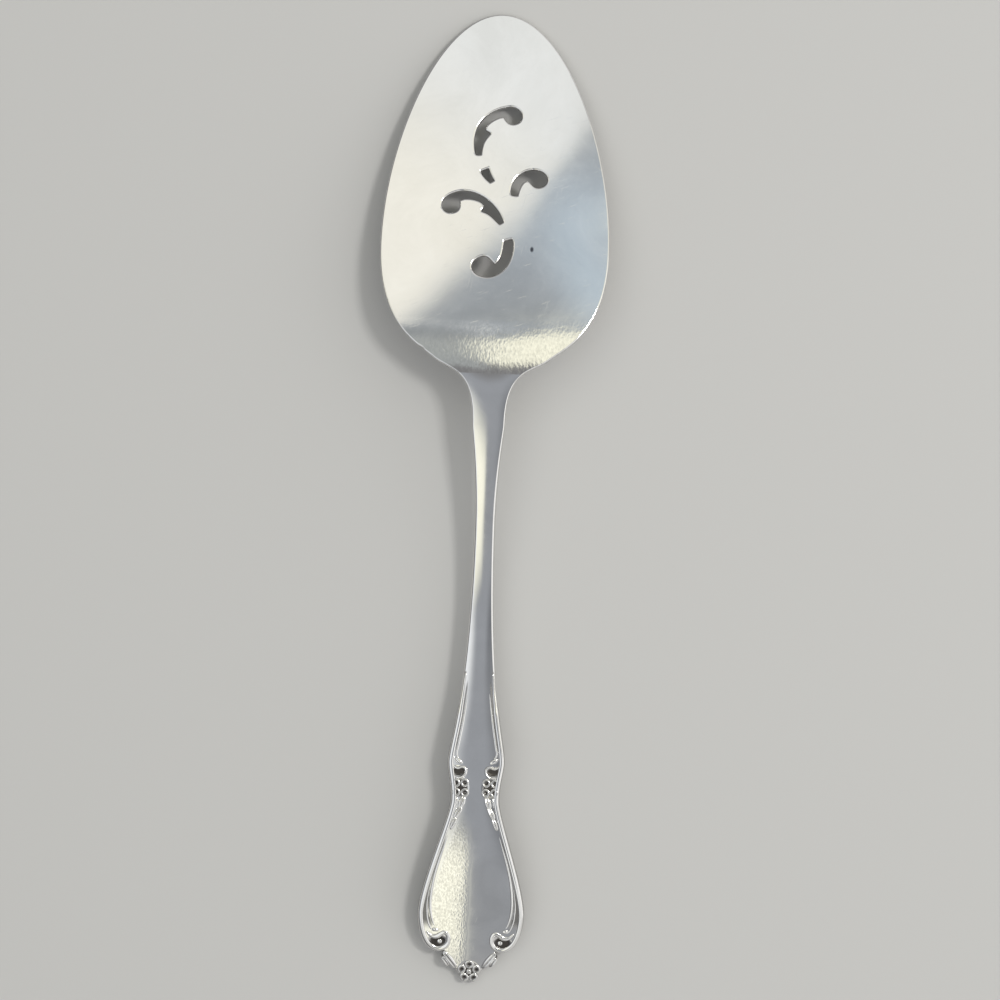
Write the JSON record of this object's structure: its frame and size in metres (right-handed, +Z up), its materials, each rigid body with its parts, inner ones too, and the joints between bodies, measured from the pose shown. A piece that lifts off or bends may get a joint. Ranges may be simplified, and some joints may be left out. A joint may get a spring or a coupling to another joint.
{
  "type": "pie server",
  "caption": "Flat egg-shaped serving blade with pierced scrollwork, bent from its heel into a slim crowned handle with a coined scroll-and-rose grip; lifts and serves slices of pie or cake.",
  "frame": {"origin": "middle of the footprint, on the table under the server as it lies with its serving side down", "axes": "+Y along the server towards the blade's tip, +X across it to the right, +Z up, out of the pictured side"},
  "size_m": [0.0596, 0.254, 0.0167],
  "materials": {
    "blade_steel": "satin stainless steel with fine wear",
    "handle_steel": "polished stainless steel with fine scratches"
  },
  "bodies": {
    "root": {"blade": "blade_steel", "handle": "handle_steel"}
  },
  "joints": []
}
